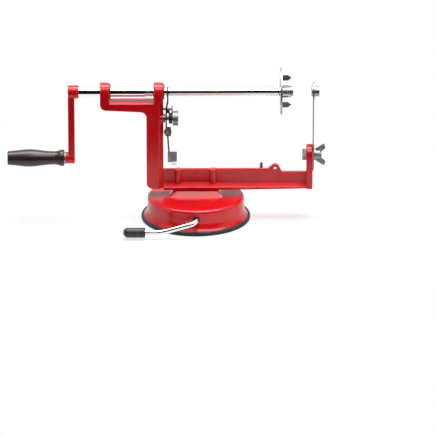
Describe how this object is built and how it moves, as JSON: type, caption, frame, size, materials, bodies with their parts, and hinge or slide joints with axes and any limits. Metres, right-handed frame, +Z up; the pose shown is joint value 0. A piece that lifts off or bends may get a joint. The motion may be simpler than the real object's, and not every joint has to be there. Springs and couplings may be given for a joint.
{
  "type": "crank peeling and coring machine",
  "caption": "Hand-cranked peeling, coring and slicing machine: red cast frame on a lever-locked suction base, threaded feed shaft with fork, thread latch, crank handle and clamped blade.",
  "frame": {"origin": "middle of the suction pad's flat underside, on the table", "axes": "+X along the shaft from the crank to the blade, +Y from the lever side to the back, +Z up"},
  "size_m": [0.3188, 0.1198, 0.158],
  "materials": {
    "red_enamel": "gloss",
    "rubber": "satin",
    "chrome": "polished",
    "fork_steel": "polished",
    "latch_steel": "satin",
    "zinc_steel": "satin",
    "spring_steel": "satin",
    "blade_steel": "satin",
    "black_nylon": "matte",
    "dark_grip": "satin"
  },
  "bodies": {
    "frame": {"frame_casting": "red_enamel", "base_shell": "red_enamel", "suction_pad": "rubber", "front_bush": "black_nylon", "lever_bush": "black_nylon", "base_screws": "zinc_steel", "base_washers": "zinc_steel", "latch_spacer": "latch_steel", "latch_pivot_screw": "zinc_steel", "latch_spring": "spring_steel", "spring_post": "zinc_steel", "clamp_bolt": "zinc_steel", "stop_pin": "zinc_steel"},
    "rear_bush": {"rear_bush": "black_nylon", "bush_ring": "zinc_steel"},
    "drive": {"drive_shaft": "chrome", "crank_arm": "red_enamel", "crank_pin": "zinc_steel", "handle_bolt": "zinc_steel", "handle_washer": "zinc_steel", "fork_plate": "fork_steel", "fork_hub": "zinc_steel"},
    "handle": {"handle_grip": "dark_grip"},
    "latch": {"latch_lever": "latch_steel", "release_rod": "latch_steel", "eye_screw": "zinc_steel", "release_tab": "zinc_steel"},
    "suction_lever": {"lever_rod": "chrome", "lever_sleeve": "black_nylon", "lift_cam": "zinc_steel", "cam_pin": "zinc_steel", "lever_clip": "zinc_steel"},
    "pad_stud": {"lift_yoke": "zinc_steel"},
    "clamp_washer": {"clamp_washer": "zinc_steel"},
    "wing_nut": {"wing_nut": "zinc_steel"},
    "blade": {"slicing_blade": "blade_steel", "coring_ring": "blade_steel"}
  },
  "joints": [
    {"name": "crank_turn", "type": "hinge", "parent": "frame", "child": "rear_bush", "pos_m": [-0.09095, 0, 0.1345], "axis": [1, 0, 0], "range_deg": [-6120, 1080]},
    {"name": "shaft_feed", "type": "slide", "parent": "rear_bush", "child": "drive", "axis": [1, 0, 0], "range_m": [-0.0953, 0.0169]},
    {"name": "handle_turn", "type": "hinge", "parent": "drive", "child": "handle", "pos_m": [-0.16, 0, 0.0645], "axis": [1, 0, 0], "continuous": true},
    {"name": "latch_release", "type": "hinge", "parent": "frame", "child": "latch", "pos_m": [-0.0296, -0.004, 0.1077], "axis": [1, 0, 0], "range_deg": [0, 8], "stiffness_Nm_per_rad": 0.05, "springref_deg": -20.05, "deforming": ["latch_spring"]},
    {"name": "suction_lock", "type": "hinge", "parent": "frame", "child": "suction_lever", "pos_m": [0, -0.0487, 0.0166], "axis": [0, 1, 0], "range_deg": [0, 180]},
    {"name": "pad_lift", "type": "slide", "parent": "frame", "child": "pad_stud", "axis": [0, 0, 1], "range_m": [0, 0.0041], "deforming": ["suction_pad"]},
    {"name": "nut_travel", "type": "slide", "parent": "frame", "child": "clamp_washer", "axis": [1, 0, 0], "range_m": [0, 0.0031]},
    {"name": "nut_turn", "type": "hinge", "parent": "clamp_washer", "child": "wing_nut", "pos_m": [0.1223, 0, 0.0673], "axis": [1, 0, 0], "range_deg": [0, 1080]},
    {"name": "blade_lift", "type": "slide", "parent": "frame", "child": "blade", "axis": [0, 0, 1], "range_m": [0, 0.03]}
  ],
  "couplings": [
    {"joint": "shaft_feed", "follows": "crank_turn", "m_per_rad": 0.00089127},
    {"joint": "pad_lift", "follows": "suction_lock", "m_per_rad": 0.0012732},
    {"joint": "nut_travel", "follows": "nut_turn", "m_per_rad": 0.00015915}
  ]
}
